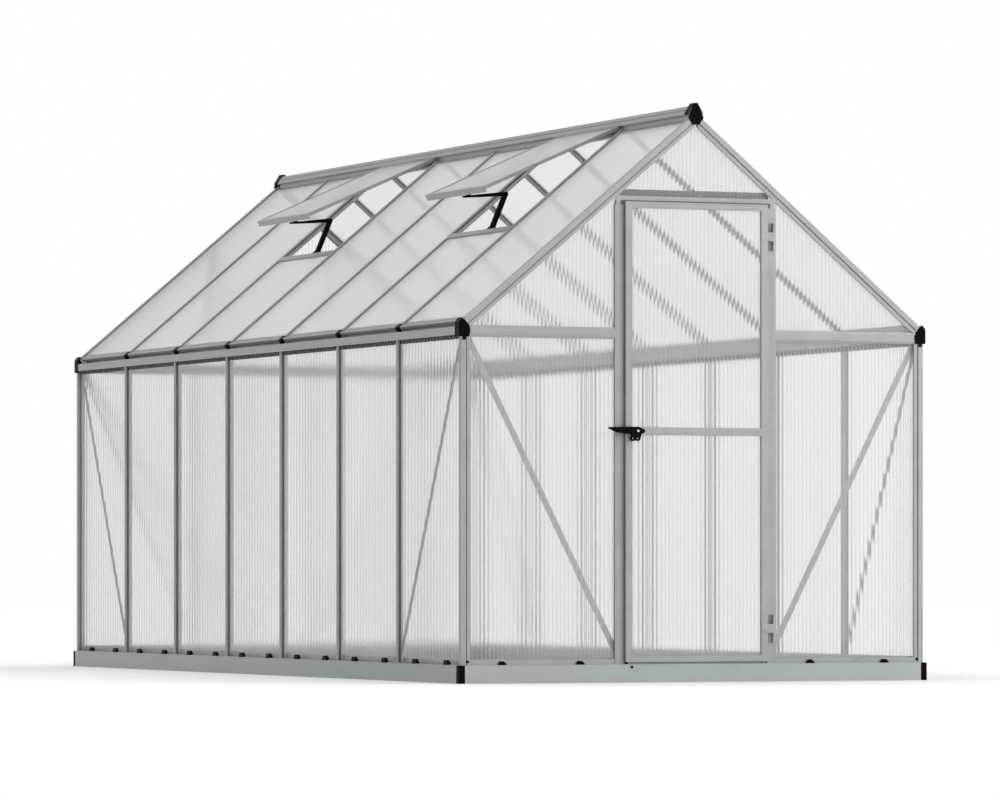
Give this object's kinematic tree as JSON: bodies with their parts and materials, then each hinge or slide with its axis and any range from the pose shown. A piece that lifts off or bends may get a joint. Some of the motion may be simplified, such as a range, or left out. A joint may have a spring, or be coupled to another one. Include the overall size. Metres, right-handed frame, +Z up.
{
  "type": "aluminium greenhouse with twin-wall sheets",
  "caption": "Small walk-in garden greenhouse: aluminium frame on a steel base, twin-wall sheets, pitched roof with propped vents and a hinged door with a lever handle.",
  "frame": {"origin": "on the ground at the centre of the base's footprint", "axes": "+X to the right and +Y to the back of the house seen from the door, +Z up"},
  "size_m": [1.85, 4.291, 2.0841],
  "materials": {
    "aluminium": "mill finish, satin, with fine lines along the extrusions",
    "base_steel": "smooth zinc-grey coated steel, dull",
    "black_plastic": "black moulded plastic, fine grain",
    "seal_rubber": "soft black rubber, dull",
    "twin_wall_sheet": "clear twin-wall polycarbonate with fine upright ribs, hazy"
  },
  "bodies": {
    "house": {"front_sill": "aluminium", "back_sill": "aluminium", "side_sills": "aluminium", "corner_posts": "aluminium", "wall_studs": "aluminium", "door_posts": "aluminium", "back_posts": "aluminium", "door_header": "aluminium", "gable_ties": "aluminium", "gutter_faces": "aluminium", "gutter_floors": "aluminium", "eave_walls": "aluminium", "eave_rails": "aluminium", "ridge_beam": "aluminium", "gable_rafters": "aluminium", "roof_bars": "aluminium", "vent_crossbars": "aluminium", "vent_flap_frames": "aluminium", "gable_braces": "aluminium", "side_braces": "aluminium", "post_hinges": "aluminium", "base_ends": "base_steel", "base_sides": "base_steel", "base_corners": "black_plastic", "eave_caps": "black_plastic", "ridge_caps": "black_plastic", "bar_clips": "black_plastic", "vent_openers": "black_plastic", "eave_seals": "seal_rubber", "left_wall_panels": "twin_wall_sheet", "right_wall_panels": "twin_wall_sheet", "front_wall_panels": "twin_wall_sheet", "back_wall_panels": "twin_wall_sheet", "front_gable_panels": "twin_wall_sheet", "back_gable_panels": "twin_wall_sheet", "left_roof_panels": "twin_wall_sheet", "right_roof_panels": "twin_wall_sheet", "vent_flap_panels": "twin_wall_sheet"},
    "door": {"door_stiles": "aluminium", "door_rails": "aluminium", "door_panels": "twin_wall_sheet", "door_hinges": "aluminium", "handle_rose": "black_plastic"},
    "lever": {"door_handle": "black_plastic"}
  },
  "joints": [
    {"name": "door_hinge", "type": "hinge", "parent": "house", "child": "door", "pos_m": [0.305, -2.137, 0.9], "axis": [0, 0, 1], "range_deg": [0, 115]},
    {"name": "handle_turn", "type": "hinge", "parent": "door", "child": "lever", "pos_m": [-0.239, -2.145, 0.901], "axis": [0, 1, 0], "range_deg": [0, 90]}
  ]
}
